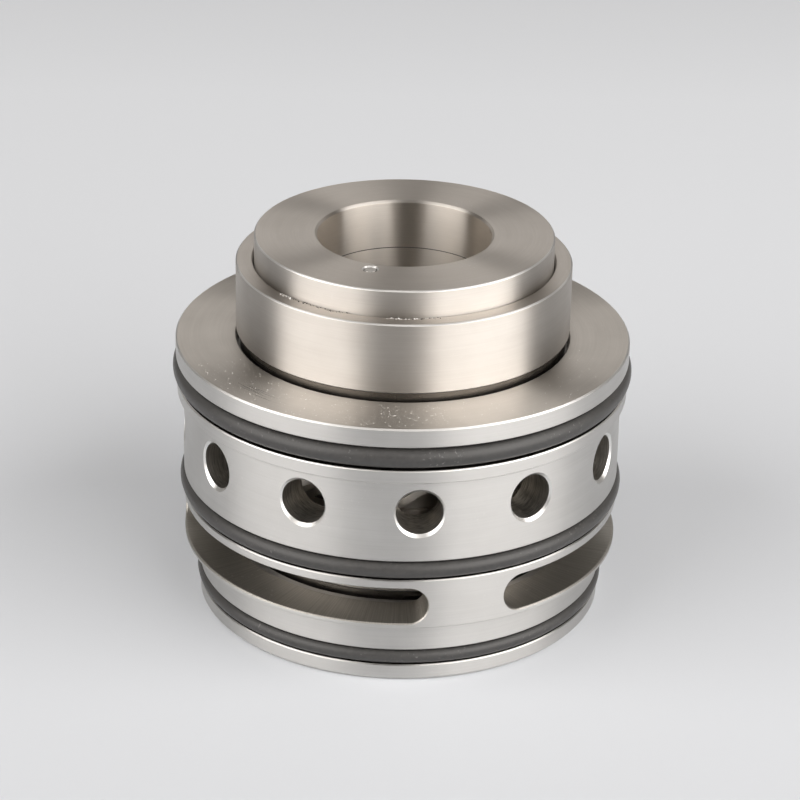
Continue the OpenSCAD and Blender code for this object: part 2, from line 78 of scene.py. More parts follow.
# grooves of the outer O-rings: lower edge, upper edge, depth
GROOVE_Z0, GROOVE_Z1, GROOVE_DEPTH = 62.3, 68.6, 4.6
WAIST_Z0, WAIST_Z1, WAIST_DEPTH = 31.15, 36.35, 3.5
FOOT_GROOVE_Z0, FOOT_GROOVE_Z1, FOOT_GROOVE_DEPTH = 4.6, 8.9, 3.0
O_RINGS = (("flange_o_ring", 57.3, 65.45, 5.4), ("waist_o_ring", 56.25, 33.75, 4.5),
           ("foot_o_ring", 52.45, 6.75, 3.7))

# pocket and pin holes of a still seat, as depths below its seal's collar
SEAT_BORE_R, POCKET_R = 31.4, 40.0
POCKET_TOP, POCKET_FLOOR, POCKET_UNDER = 6.5, 12.8, 15.8
SEAT_PINS, SEAT_PIN_R, SEAT_PIN_RING_R = 2, 1.25, 34.4
SEAT_PIN_TOP, SEAT_PIN_END = 5.0, 14.8

# ports and slots
PORTS, PORT_TURN, PORT_R, PORT_Z = 12, 5.0, 5.95, 49.8
PORT_FROM, PORT_TO, PORT_MOUTH = 43.0, 59.0, 0.8
SLOTS, SLOT_Z0, SLOT_Z1 = 3, 18.8, 28.6
WEB_ANGLE, FIRST_WEB = 20.4, 17.7
SLOT_FROM_R = BODY_BORE_R - 3
SLOT_EDGE = ((-0.45, 0.0), (-0.3, 0.06), (1.0, 1.36))  # distance outside the wall, flare
SLOT_COLUMNS, SLOT_END_STEP = 22, 9

# collars: radii, then heights over the collar's lower edge
COLLAR_R = 43.45
NECK_R = 42.4
MOUTH_R = 39.1
CAVITY_R = 40.5
COLLAR_BORE_R, COLLAR_CORD_R = 30.4, 32.9
COLLAR_H = 18.7
NECK_U = -5.3
COLLAR_CORD_U0, COLLAR_CORD_U1 = 5.955, 8.945
WEB_U, WEB_TOP_U = 4.2, 10.7
UPPER_Z, LOWER_Z = 75.8, 20.1  # lower edges of the two collars, over the floor

# drive: ring of pins and springs, as counts, first angles and radii
DRIVE_R = 35.8
DRIVE_HOLES, DRIVE_HOLE_TURN, DRIVE_HOLE_R, DRIVE_HOLE_U0, DRIVE_HOLE_U1 = 3, 30.0, 1.9, 7.0, 12.0
DRIVE_POCKETS = ((6, 0.0, 2.25), (3, 30.0, 1.5))
DRIVE_POCKET_DEPTH, DRIVE_POCKET_OVER = 6.0, 1.0
SPRING_STAND_OFF = 1.03  # from a drive face to the middle of the wire, in wire radii

# sleeve, top ring and its pin
SHAFT_R = 22.5
SLEEVE_R = 30.0
TOP_RING_R = 38.7
SPIGOT_R, SHOULDER_Z = 26.3, 86.5
TOP_RING_Z, TOP_Z = 88.8, 101.5
SLEEVE_Z0, SLEEVE_TOP_Z = 0.8, 88.2
DRIVE_FLANGE_Z = 33.1
CLIP_R, CLIP_Z0, CLIP_Z1 = 28.5, 2.3, 3.9
SHAFT_CORD_R = 25.0
UPPER_CORD_Z0, UPPER_CORD_Z1 = 70.52, 73.88
LOWER_CORD_Z0, LOWER_CORD_Z1 = 10.32, 13.68
PIN_RING_R, PIN_TURN, PIN_HOLE_R, PIN_HOLE_DEPTH, PIN_MOUTH = 26.3, -18.6, 1.8, 20.2, 0.4

# circulation ring
HUB_Z0, HUB_Z1, HUB_R = 41.1, 55.4, 37.5
VANES, VANE_TURN, VANE_SLANT, VANE_T, VANE_INSET = 12, 6.0, math.radians(33), 2.0, 0.3
VANE_STEPS, VANE_EDGE = 24, 0.15


# ---------------------------------------------------------------- node trees
class Tree:
    """Adds nodes to a tree and joins them, laid out from left to right."""

    def __init__(self, tree):
        self.tree = tree
        self.count = 0

    def add(self, kind, inputs=None, **settings):
        node = self.tree.nodes.new(kind)
        node.location = (220 * (self.count % 12), -260 * (self.count // 12))
        self.count += 1
        for name, value in settings.items():
            setattr(node, name, value)
        for name, value in (inputs or {}).items():
            self.feed(node.inputs[name], value)
        return node

    def feed(self, socket, value):
        if isinstance(value, bpy.types.NodeSocket):
            self.tree.links.new(value, socket)
        elif isinstance(value, bpy.types.Node):
            self.tree.links.new(value.outputs[0], socket)
        else:
            socket.default_value = value

    def math(self, operation, a, b=0.0, clamp=False):
        node = self.add("ShaderNodeMath", operation=operation, use_clamp=clamp)
        self.feed(node.inputs[0], a)
        self.feed(node.inputs[1], b)
        return node.outputs[0]

    def vector(self, operation, a, b=None, scale=None):
        node = self.add("ShaderNodeVectorMath", operation=operation)
        self.feed(node.inputs[0], a)
        if b is not None:
            self.feed(node.inputs[1], b)
        if scale is not None:
            self.feed(node.inputs["Scale"], scale)
        return node.outputs["Value"] if operation == "LENGTH" else node.outputs[0]

    def blend(self, factor, a, b):
        node = self.add("ShaderNodeMix", data_type="RGBA")
        self.feed(node.inputs[0], factor)
        self.feed(node.inputs[6], a)
        self.feed(node.inputs[7], b)
        return node.outputs[2]

    def spread(self, value, low, high, to_low, to_high):
        node = self.add("ShaderNodeMapRange")
        for place, part in enumerate((value, low, high, to_low, to_high)):
            self.feed(node.inputs[place], part)
        return node.outputs[0]


def group_sockets(group, inputs, outputs):
    """Names a group's sockets: inputs as (name, kind, value), outputs as (name, kind)."""
    for name, kind, value in inputs:
        socket = group.interface.new_socket(name, in_out="INPUT", socket_type="NodeSocket" + kind)
        if value is not None:
            socket.default_value = value
    for name, kind in outputs:
        group.interface.new_socket(name, in_out="OUTPUT", socket_type="NodeSocket" + kind)


# ---------------------------------------------------------------- shared finishes
def turned_marks_group():
    """Lines that a lathe leaves round the axis, with a soft haze over them."""
    group = bpy.data.node_groups.new("Turned marks", "ShaderNodeTree")
    group_sockets(group,
                  [("Lines per metre", "Float", 2600.0), ("Line contrast", "Float", 0.25),
                   ("Haze contrast", "Float", 0.25), ("Metal", "Color", (0.6, 0.58, 0.55, 1)),
                   ("Dulled metal", "Color", (0.4, 0.38, 0.35, 1)),
                   ("Least roughness", "Float", 0.25), ("Most roughness", "Float", 0.4)],
                  [("Color", "Color"), ("Roughness", "Float"), ("Height", "Float")])
    t = Tree(group)
    given = t.add("NodeGroupInput")
    place = t.add("ShaderNodeTexCoord").outputs["Object"]
    flat = t.vector("MULTIPLY", place, (1, 1, 0))
    radius = t.vector("LENGTH", flat)
    upright = t.vector("MULTIPLY", place, (0, 0, 1))
    way_round = t.vector("SCALE", t.vector("NORMALIZE", flat), scale=2.2)
    lines = given.outputs["Lines per metre"]
    fine = t.add("ShaderNodeTexNoise", {
        "Vector": t.vector("ADD", way_round, t.vector("SCALE", upright, scale=lines)),
        "W": t.math("MULTIPLY", radius, lines), "Scale": 1.0, "Detail": 2.0}, noise_dimensions="4D")
    broad_lines = t.math("MULTIPLY", lines, 0.16)
    broad = t.add("ShaderNodeTexNoise", {
        "Vector": t.vector("ADD", way_round, t.vector("SCALE", upright, scale=broad_lines)),
        "W": t.math("MULTIPLY", radius, broad_lines), "Scale": 1.0, "Detail": 1.0},
        noise_dimensions="4D")
    haze = t.add("ShaderNodeTexNoise", {"Vector": place, "Scale": 90.0, "Detail": 3.0})
    marks = t.math("ADD", t.math("MULTIPLY", fine.outputs[0], 0.65),
                   t.math("MULTIPLY", broad.outputs[0], 0.35))
    line_part = t.math("MULTIPLY", t.spread(marks, 0.35, 0.65, 0.0, 1.0), given.outputs["Line contrast"])
    haze_part = t.math("MULTIPLY", t.spread(haze.outputs[0], 0.35, 0.7, 0.0, 1.0),
                       given.outputs["Haze contrast"])
    dull = t.math("ADD", line_part, haze_part, clamp=True)
    color = t.blend(dull, given.outputs["Metal"], given.outputs["Dulled metal"])
    rough = t.add("ShaderNodeMapRange", {0: dull, 3: given.outputs["Least roughness"],
                                         4: given.outputs["Most roughness"]})
    t.add("NodeGroupOutput", {"Color": color, "Roughness": rough.outputs[0], "Height": marks})
    return group


def dust_group():
    """A film of fine dust and loose specks: a mask from 0 to 1."""
    group = bpy.data.node_groups.new("Settled dust", "ShaderNodeTree")
    group_sockets(group, [("Specks per metre", "Float", 1500.0), ("Amount", "Float", 0.5)],
                  [("Mask", "Float")])
    t = Tree(group)
    given = t.add("NodeGroupInput")
    place = t.add("ShaderNodeTexCoord").outputs["Object"]
    specks = t.add("ShaderNodeTexNoise", {"Vector": place, "Scale": given.outputs[0], "Detail": 1.0})
    drift = t.add("ShaderNodeTexNoise", {"Vector": place, "Scale": 70.0, "Detail": 2.0})
    grains = t.spread(specks.outputs[0], 0.66, 0.74, 0.0, 1.0)
    patches = t.spread(drift.outputs[0], 0.45, 0.7, 0.0, 1.0)
    mask = t.math("MULTIPLY", t.math("MULTIPLY", grains, patches), given.outputs["Amount"], clamp=True)
    t.add("NodeGroupOutput", {"Mask": mask})
    return group


TURNED_MARKS = turned_marks_group()
DUST = dust_group()
STEEL_DUST = (0.75, 0.74, 0.71, 1)
CUT_DUST = (0.7, 0.69, 0.66, 1)
RUBBER_DUST = (0.5, 0.49, 0.47, 1)


def new_material(name):
    material = bpy.data.materials.new(name)
    material.use_nodes = True
    material.node_tree.nodes.clear()
    return material, Tree(material.node_tree)


def metal(name, metal_color, dulled, roughness, lines=2600.0, contrast=(0.25, 0.25), along=0.6,
          depth=0.000004, dust=0.0):
    """Turned steel: marks run round the axis and the gloss is stretched across them."""
    material, t = new_material(name)
    marks = t.add("ShaderNodeGroup", node_tree=TURNED_MARKS)
    for socket, value in (("Lines per metre", lines), ("Line contrast", contrast[0]),
                          ("Haze contrast", contrast[1]), ("Metal", (*metal_color, 1)),
                          ("Dulled metal", (*dulled, 1)), ("Least roughness", roughness[0]),
                          ("Most roughness", roughness[1])):
        marks.inputs[socket].default_value = value
    color = marks.outputs["Color"]
    if dust:
        film = t.add("ShaderNodeGroup", {"Amount": dust}, node_tree=DUST)
        color = t.blend(film.outputs[0], color, STEEL_DUST)
    bump = t.add("ShaderNodeBump", {"Height": marks.outputs["Height"], "Strength": 0.5,
                                    "Distance": depth})
    shader = t.add("ShaderNodeBsdfPrincipled", {
        "Base Color": color, "Roughness": marks.outputs["Roughness"], "Metallic": 1.0,
        "Anisotropic": along, "Anisotropic Rotation": 0.25, "Normal": bump.outputs[0]})
    if along:
        t.feed(shader.inputs["Tangent"], t.add("ShaderNodeTangent", direction_type="RADIAL", axis="Z"))
    t.add("ShaderNodeOutputMaterial", {"Surface": shader.outputs[0]})
    return material


def cut_metal(name, metal_color, dulled, roughness, stretch, depth=0.00001):
    """Milled or drilled steel: marks along a direction given as noise scales on x, y and z."""
    material, t = new_material(name)
    place = t.add("ShaderNodeTexCoord").outputs["Object"]
    flat = t.vector("MULTIPLY", place, (1, 1, 0))
    radius = t.vector("LENGTH", flat)
    way_round = t.vector("SCALE", t.vector("NORMALIZE", flat), scale=stretch[0])
    across = t.vector("ADD", way_round, t.vector("MULTIPLY", place, (0, 0, stretch[2])))
    marks = t.add("ShaderNodeTexNoise", {"Vector": across, "W": t.math("MULTIPLY", radius, stretch[1]),
                                         "Scale": 1.0, "Detail": 3.0}, noise_dimensions="4D")
    dull = t.spread(marks.outputs[0], 0.3, 0.7, 0.0, 1.0)
    film = t.add("ShaderNodeGroup", {"Amount": 0.7, "Specks per metre": 1100.0}, node_tree=DUST)
    color = t.blend(film.outputs[0], t.blend(dull, (*metal_color, 1), (*dulled, 1)), CUT_DUST)
    bump = t.add("ShaderNodeBump", {"Height": marks.outputs[0], "Strength": 0.6, "Distance": depth})
    shader = t.add("ShaderNodeBsdfPrincipled", {
        "Base Color": color, "Roughness": t.spread(dull, 0.0, 1.0, *roughness), "Metallic": 1.0,
        "Normal": bump.outputs[0]})
    t.add("ShaderNodeOutputMaterial", {"Surface": shader.outputs[0]})
    return material


def matt(name, color, dark, roughness, grain, depth=0.00002, dust=0.0, specular=0.5):
    """Rubber, grime or dust: a matt skin with a fine grain."""
    material, t = new_material(name)
    place = t.add("ShaderNodeTexCoord").outputs["Object"]
    noise = t.add("ShaderNodeTexNoise", {"Vector": place, "Scale": grain, "Detail": 4.0})
    shade = t.spread(noise.outputs[0], 0.3, 0.7, 0.0, 1.0)
    tone = t.blend(shade, (*dark, 1), (*color, 1))
    if dust:
        film = t.add("ShaderNodeGroup", {"Amount": dust, "Specks per metre": 1300.0}, node_tree=DUST)
        tone = t.blend(film.outputs[0], tone, RUBBER_DUST)
    bump = t.add("ShaderNodeBump", {"Height": noise.outputs[0], "Strength": 0.4, "Distance": depth})
    shader = t.add("ShaderNodeBsdfPrincipled", {
        "Base Color": tone, "Roughness": t.spread(shade, 0.0, 1.0, *roughness),
        "Specular IOR Level": specular, "Normal": bump.outputs[0]})
    t.add("ShaderNodeOutputMaterial", {"Surface": shader.outputs[0]})
    return material


HOUSING_STEEL = metal("Housing steel", (0.61, 0.60, 0.58), (0.48, 0.47, 0.455), (0.36, 0.45),
                      lines=2400.0, along=0.8, dust=0.25)
FACED_STEEL = metal("Faced flange steel", (0.72, 0.68, 0.63), (0.56, 0.525, 0.48), (0.40, 0.46),
                    lines=3000.0, along=0.96, dust=0.5)
FACED_TOP_STEEL = metal("Faced top steel", (0.66, 0.62, 0.575), (0.54, 0.50, 0.455), (0.37, 0.44),
                        lines=3000.0, along=0.92, dust=0.5)
DRIVE_STEEL = metal("Drive ring steel", (0.66, 0.625, 0.58), (0.53, 0.49, 0.45), (0.46, 0.52),
                    lines=3000.0, along=0.97, dust=0.2)
BORE_STEEL = metal("Honed bore steel", (0.74, 0.695, 0.64), (0.58, 0.535, 0.48), (0.33, 0.37),
                   lines=3600.0, along=0.98)
# Bevels: a paler, isotropic steel than the faces beside them, partly a painted highlight along the edges.
BEVEL_HIGHLIGHT_STEEL = metal("Bevels with painted highlight", (0.82, 0.81, 0.79), (0.70, 0.69, 0.67), (0.34, 0.42), lines=900.0,
                    contrast=(0.1, 0.3), along=0.0)
# Painted shade: a dark steel laid where shade falls, on the collars' necks and on the O-ring grooves'
# walls.
PAINTED_SHADE_STEEL = metal("Painted shade steel", (0.20, 0.185, 0.165), (0.11, 0.10, 0.09), (0.25, 0.38),
                   lines=1800.0, along=0.4)
PIN_STEEL = metal("Pin steel", (0.55, 0.53, 0.50), (0.38, 0.36, 0.34), (0.25, 0.4), along=0.0)
SPRING_STEEL = metal("Spring wire", (0.55, 0.54, 0.52), (0.4, 0.39, 0.37), (0.25, 0.35), along=0.0)
CARBIDE = metal("Lapped carbide", (0.20, 0.20, 0.205), (0.12, 0.12, 0.125), (0.12, 0.25), along=0.2)
PORT_WALL = cut_metal("Drilled port wall", (0.66, 0.635, 0.59), (0.30, 0.285, 0.26), (0.30, 0.5),
                      (30.0, 2600.0, 40.0), depth=0.00002)
SLOT_WALL = cut_metal("Milled slot wall", (0.48, 0.46, 0.425), (0.35, 0.335, 0.305), (0.34, 0.5),
                      (330.0, 60.0, 2200.0))
RUBBER = matt("O-ring rubber", (0.049, 0.047, 0.045), (0.036, 0.035, 0.034), (0.36, 0.5), 900.0,
              dust=0.2)
LINT = matt("Pale dust", (0.92, 0.91, 0.89), (0.8, 0.79, 0.77), (0.8, 0.95), 2000.0)
GRIME = matt("Dark grime", (0.10, 0.09, 0.08), (0.03, 0.027, 0.024), (0.7, 0.9), 1500.0)


# ---------------------------------------------------------------- meshes
def object_from(mesh, name, *materials):
    piece = bpy.data.objects.new(name, mesh)
    bpy.context.scene.collection.objects.link(piece)
    for material in materials:
        mesh.materials.append(material)
    return piece


def bake(piece):
    """Turns what the modifiers make into the piece's own plain mesh."""
    graph = bpy.context.evaluated_depsgraph_get()
    mesh = bpy.data.meshes.new_from_object(piece.evaluated_get(graph), depsgraph=graph)
    old = piece.data
    piece.modifiers.clear()
    piece.data = mesh
    bpy.data.meshes.remove(old)
    mesh.name = piece.name
    return piece


def smooth(piece, angle=SHARP_ANGLE):
    """Even gloss over rounded edges, flat faces and bevels with their own finish kept crisp."""
    mesh = piece.data
    for face in mesh.polygons:
        face.use_smooth = True
    mesh.set_sharp_from_angle(angle=angle)
    work = bmesh.new()
    work.from_mesh(mesh)
    for edge in work.edges:
        finishes = {face.material_index for face in edge.link_faces}
        if len(finishes) > 1 and edge.calc_face_angle(0) > BEVEL_ANGLE:
            edge.smooth = False
    work.to_mesh(mesh)
    work.free()
    weighting = piece.modifiers.new("Even gloss", "WEIGHTED_NORMAL")
    weighting.keep_sharp = True
    weighting.weight = 60
    return bake(piece)


def rounded(corners):
    """Outline through (r, z, rounding) corners, each corner turned into a small arc."""
    points = []
    for place, (r, z, size) in enumerate(corners):
        corner = Vector((r, z))
        before = Vector(corners[place - 1][:2]) - corner
        after = Vector(corners[(place + 1) % len(corners)][:2]) - corner
        if size == 0:
            points.append((r, z))
            continue
        half = before.angle(after) / 2
        cut = min(size / math.tan(half), 0.4 * before.length, 0.4 * after.length)
        arc_r = cut * math.tan(half)
        middle = corner + (before.normalized() + after.normalized()).normalized() * arc_r / math.sin(half)
        start = corner + before.normalized() * cut - middle
        end = corner + after.normalized() * cut - middle
        for step in range(ROUNDING_STEPS + 1):
            share = step / ROUNDING_STEPS
            spoke = ((1 - share) * start + share * end).normalized() * arc_r
            points.append(tuple(middle + spoke))
    return points


def finished_mesh(work, name):
    """A new mesh from the work, with its faces turned outwards."""
    bmesh.ops.recalc_face_normals(work, faces=work.faces)
    mesh = bpy.data.meshes.new(name)
    work.to_mesh(mesh)
    work.free()
    return mesh


def close_bar(work, rows):
    """Faces round a bar given by rows of corners, and over both its ends."""
    for near, far in zip(rows, rows[1:]):
        for k in range(len(near)):
            after = (k + 1) % len(near)
            work.faces.new((near[k], near[after], far[after], far[k]))
    work.faces.new(rows[0])
    work.faces.new(rows[-1])


def turned(name, corners, *materials, rounding=0.08, lift=0.0):
    """A ring turned from its outline: (r, z) corners in millimetres, or (r, z, rounding)."""
    full = [(c[0], c[1] + lift, c[2] if len(c) > 2 else rounding) for c in corners]
    outline = rounded(full)
    work = bmesh.new()
    rings = []
    for r, z in outline:
        rings.append([work.verts.new((r * MM * math.cos(2 * math.pi * k / RING_STEPS),
                                      r * MM * math.sin(2 * math.pi * k / RING_STEPS), z * MM))
                      for k in range(RING_STEPS)])
    for place, ring in enumerate(rings):
        above = rings[(place + 1) % len(rings)]
        for k in range(RING_STEPS):
            after = (k + 1) % RING_STEPS
            work.faces.new((ring[k], ring[after], above[after], above[k]))
    bmesh.ops.remove_doubles(work, verts=work.verts, dist=WELD)
    return object_from(finished_mesh(work, name), name, *materials)


def paint(piece, material, chosen):
    """Gives the faces for which chosen(r, z, normal) holds, in millimetres, another finish."""
    mesh = piece.data
    mesh.materials.append(material)
    index = len(mesh.materials) - 1
    for face in mesh.polygons:
        middle = face.center / MM
        if chosen(math.hypot(middle.x, middle.y), middle.z, face.normal):
            face.material_index = index


def cord_ring(name, r, z, cord):
    """An O-ring cord of round section."""
    section = [(r + cord / 2 * math.cos(math.radians(a)), z + cord / 2 * math.sin(math.radians(a)), 0)
               for a in range(0, 360, CORD_STEP)]
    return smooth(turned(name, section, RUBBER), math.pi)


def cut_with(piece, cutter):
    """Takes the cutter's solid out of the piece and brings its finish onto the new walls."""
    knife = piece.modifiers.new("Cut", "BOOLEAN")
    knife.operation = "DIFFERENCE"
    knife.solver = "EXACT"
    knife.material_mode = "TRANSFER"
    knife.object = cutter
    bake(piece)
    bpy.data.objects.remove(cutter)
    return piece


# ---------------------------------------------------------------- geometry nodes
def geometry_tree(name, inputs):
    tree = bpy.data.node_groups.new(name, "GeometryNodeTree")
    group_sockets(tree, [("Geometry", "Geometry", None)] + inputs, [("Geometry", "Geometry")])
    t = Tree(tree)
    return t, t.add("NodeGroupInput")


def round_the_axis(t, geometry, count, first_angle):
    """Copies of the geometry turned evenly about z, the first by the given angle."""
    spots = t.add("GeometryNodeMeshLine", {"Count": count, "Offset": (0, 0, 0)})
    turn = t.math("DIVIDE", 2 * math.pi, count)
    angle = t.math("ADD", t.math("MULTIPLY", t.add("GeometryNodeInputIndex").outputs[0], turn),
                   t.math("RADIANS", first_angle))
    rotation = t.add("ShaderNodeCombineXYZ", {"Z": angle})
    copies = t.add("GeometryNodeInstanceOnPoints", {"Points": spots.outputs[0], "Instance": geometry,
                                                    "Rotation": rotation.outputs[0]})
    return t.add("GeometryNodeRealizeInstances", {"Geometry": copies.outputs[0]}).outputs[0]


def drilled_tree(radial):
    """Cuts round holes in a ring, upright or towards the axis, each with a cone at its mouth."""
    t, given = geometry_tree("Radial holes" if radial else "Upright holes", [
        ("Count", "Int", 6), ("First angle", "Float", 0.0), ("Hole radius", "Float", 0.002),
        ("Start", "Float", 0.0), ("End", "Float", 0.01), ("Ring radius", "Float", 0.0),
        ("Height", "Float", 0.0), ("Mouth width", "Float", 0.0), ("Mouth at", "Float", 0.01),
        ("Wall", "Material", None), ("Bevel", "Material", None)])
    hole_r = given.outputs["Hole radius"]
    low, high = given.outputs["Start"], given.outputs["End"]
    bit = t.add("GeometryNodeMeshCylinder", {
        "Vertices": HOLE_SIDES, "Radius": hole_r, "Depth": t.math("SUBTRACT", high, low)}).outputs[0]
    bit_z = t.math("MULTIPLY", t.math("ADD", low, high), 0.5)
    mouth_w = given.outputs["Mouth width"]
    reach = 0.6 * MM  # the cone runs on by this much past both ends of the bevel
    cone = t.add("GeometryNodeMeshCone", {
        "Vertices": HOLE_SIDES, "Radius Bottom": t.math("SUBTRACT", hole_r, reach),
        "Radius Top": t.math("ADD", t.math("ADD", hole_r, mouth_w), reach),
        "Depth": t.math("ADD", mouth_w, 2 * reach)})
    cone_z = t.math("SUBTRACT", t.math("SUBTRACT", given.outputs["Mouth at"], mouth_w), reach)
    has_mouth = t.add("FunctionNodeCompare", {0: mouth_w, 1: 0.00001}, operation="GREATER_THAN")
    mouth = t.add("GeometryNodeSwitch", {"Switch": has_mouth.outputs[0], "True": cone.outputs[0]},
                  input_type="GEOMETRY").outputs[0]
    cut = t.add("GeometryNodeMeshBoolean", {"Mesh 1": given.outputs["Geometry"]},
                operation="DIFFERENCE", solver="EXACT")
    for tool, height, finish in ((bit, bit_z, "Wall"), (mouth, cone_z, "Bevel")):
        on_axis = t.add("GeometryNodeTransform", {
            "Geometry": tool, "Translation": t.add("ShaderNodeCombineXYZ", {"Z": height}).outputs[0]})
        aside = t.add("ShaderNodeCombineXYZ", {"X": given.outputs["Ring radius"],
                                               "Z": given.outputs["Height"]})
        laid = t.add("GeometryNodeTransform", {
            "Geometry": on_axis.outputs[0], "Translation": aside.outputs[0],
            "Rotation": (0, math.pi / 2 if radial else 0, 0)})
        tools = round_the_axis(t, laid.outputs[0], given.outputs["Count"],
                               t.math("SUBTRACT", given.outputs["First angle"], 90.0))
        painted = t.add("GeometryNodeSetMaterial", {"Geometry": tools, "Material": given.outputs[finish]})
        t.tree.links.new(painted.outputs[0], cut.inputs["Mesh 2"])
    t.add("NodeGroupOutput", {"Geometry": cut.outputs[0]})
    return t.tree


def spring_tree():
    """A ring of coil springs standing on one plane, between two drive faces."""
    t, given = geometry_tree("Ring of springs", [
        ("Count", "Int", 6), ("Ring radius", "Float", 0.0358), ("Coil radius", "Float", 0.00165),
        ("Wire radius", "Float", 0.00035), ("Turns", "Float", 4.5), ("Base", "Float", 0.0865),
        ("Height", "Float", 0.0083), ("Wire", "Material", None)])
    wire = given.outputs["Wire radius"]
    climb = t.math("SUBTRACT", given.outputs["Height"], t.math("MULTIPLY", wire, 2 * SPRING_STAND_OFF))
    line = t.add("GeometryNodeCurveSpiral", {
        "Resolution": 28, "Rotations": given.outputs["Turns"], "Start Radius": given.outputs["Coil radius"],
        "End Radius": given.outputs["Coil radius"], "Height": climb})
    section = t.add("GeometryNodeCurvePrimitiveCircle", {"Resolution": 10, "Radius": wire})
    coil = t.add("GeometryNodeCurveToMesh", {"Curve": line.outputs[0], "Profile Curve": section.outputs[0],
                                             "Fill Caps": True})
    stand = t.add("ShaderNodeCombineXYZ", {
        "X": given.outputs["Ring radius"],
        "Z": t.math("ADD", given.outputs["Base"], t.math("MULTIPLY", wire, SPRING_STAND_OFF))})
    placed = t.add("GeometryNodeTransform", {"Geometry": coil.outputs[0], "Translation": stand.outputs[0]})
    ring = round_the_axis(t, placed.outputs[0], given.outputs["Count"], -90.0)
    shaded = t.add("GeometryNodeSetShadeSmooth", {"Geometry": ring})
    done = t.add("GeometryNodeSetMaterial", {"Geometry": shaded.outputs[0],
                                             "Material": given.outputs["Wire"]})
    t.add("NodeGroupOutput", {"Geometry": done.outputs[0]})
    return t.tree


def speck_tree():
    """Loose grains strewn over a stretch of a level ring."""
    t, given = geometry_tree("Strewn grains", [
        ("Count", "Int", 40), ("Inner radius", "Float", 0.045), ("Outer radius", "Float", 0.058),
        ("First angle", "Float", -60.0), ("Last angle", "Float", 0.0), ("Height", "Float", 0.0737),
        ("Smallest", "Float", 0.00004), ("Largest", "Float", 0.00012), ("Long side", "Float", 1.6),
        ("Seed", "Int", 1), ("Grain", "Material", None)])
    spots = t.add("GeometryNodePoints", {"Count": given.outputs["Count"]})

    def chance(low, high, shift):
        node = t.add("FunctionNodeRandomValue", data_type="FLOAT")
        t.feed(node.inputs[2], low)
        t.feed(node.inputs[3], high)
        t.feed(node.inputs["Seed"], t.math("ADD", given.outputs["Seed"], shift))
        return node.outputs[1]

    r = chance(given.outputs["Inner radius"], given.outputs["Outer radius"], 11)
    angle = t.math("RADIANS", chance(given.outputs["First angle"], given.outputs["Last angle"], 23))
    size = chance(0.0, 1.0, 37)
    grain_r = t.add("ShaderNodeMapRange", {0: t.math("POWER", size, 3.0), 3: given.outputs["Smallest"],
                                           4: given.outputs["Largest"]}).outputs[0]
    where = t.add("ShaderNodeCombineXYZ", {
        "X": t.math("MULTIPLY", r, t.math("SINE", angle)),
        "Y": t.math("MULTIPLY", t.math("MULTIPLY", r, t.math("COSINE", angle)), -1.0),
        "Z": t.math("ADD", given.outputs["Height"], t.math("MULTIPLY", grain_r, 0.45))})
    put = t.add("GeometryNodeSetPosition", {"Geometry": spots.outputs[0], "Position": where.outputs[0]})
    ball = t.add("GeometryNodeMeshIcoSphere", {"Radius": 1.0, "Subdivisions": 1})
    sizes = t.add("ShaderNodeCombineXYZ", {
        "X": t.math("MULTIPLY", grain_r, chance(1.0, given.outputs["Long side"], 51)),
        "Y": grain_r, "Z": t.math("MULTIPLY", grain_r, 0.5)})
    grains = t.add("GeometryNodeInstanceOnPoints", {
        "Points": put.outputs[0], "Instance": ball.outputs[0],
        "Rotation": t.add("ShaderNodeCombineXYZ", {"Z": chance(0.0, 6.28, 67)}).outputs[0],
        "Scale": sizes.outputs[0]})
    real = t.add("GeometryNodeRealizeInstances", {"Geometry": grains.outputs[0]})
    done = t.add("GeometryNodeSetMaterial", {"Geometry": real.outputs[0],
                                             "Material": given.outputs["Grain"]})
    t.add("NodeGroupOutput", {"Geometry": done.outputs[0]})
    return t.tree


RADIAL_HOLES = drilled_tree(True)
UPRIGHT_HOLES = drilled_tree(False)
SPRING_RING = spring_tree()
STREWN_GRAINS = speck_tree()


def grow(piece, tree, **values):
    """Runs a geometry tree on the piece with these inputs and keeps the mesh that it makes."""
    maker = piece.modifiers.new(tree.name, "NODES")
    maker.node_group = tree
    sockets = {item.name.lower().replace(" ", "_"): item for item in tree.interface.items_tree
               if item.in_out == "INPUT"}
    for name, value in values.items():
        maker[sockets[name].identifier] = value
    piece.update_tag()
    return bake(piece)


def drill(piece, tree, steel, count, hole_r, start, end, ring_r=0.0, first_angle=0.0, height=0.0,
          mouth=0.0, mouth_at=0.0):
    """Round holes evenly spaced about the axis, in millimetres; a mouth gets a bevel in the paler bevel
    steel, a painted highlight.
    """
    bevel = {"mouth_width": mouth * MM, "mouth_at": mouth_at * MM, "bevel": BEVEL_HIGHLIGHT_STEEL} if mouth else {}
    return grow(piece, tree, count=count, first_angle=first_angle, hole_radius=hole_r * MM,
                start=start * MM, end=end * MM, ring_radius=ring_r * MM, height=height * MM, wall=steel,
                **bevel)


def empty_piece(name, material):
    return object_from(bpy.data.meshes.new(name), name, material)


def belongs(piece, body, slot, *nodes):
    """Puts a finished piece on its body in place of its CAD nodes; the slot argument is not used."""
    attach(piece, body)
    if nodes:
        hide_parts(*nodes)


# ---------------------------------------------------------------- housing
def seat_pocket(seat):
    """Corners of the stepped pocket that holds a still seat, from the gland's bore down."""
    return [(GLAND_BORE_R, seat - POCKET_TOP), (POCKET_R, seat - POCKET_TOP),
            (POCKET_R, seat - POCKET_FLOOR), (SEAT_BORE_R, seat - POCKET_FLOOR),
            (SEAT_BORE_R, seat - POCKET_UNDER)]


def seat_pin_holes(piece, seat):
    drill(piece, UPRIGHT_HOLES, HOUSING_STEEL, SEAT_PINS, SEAT_PIN_R, seat - SEAT_PIN_END,
          seat - SEAT_PIN_TOP, SEAT_PIN_RING_R)


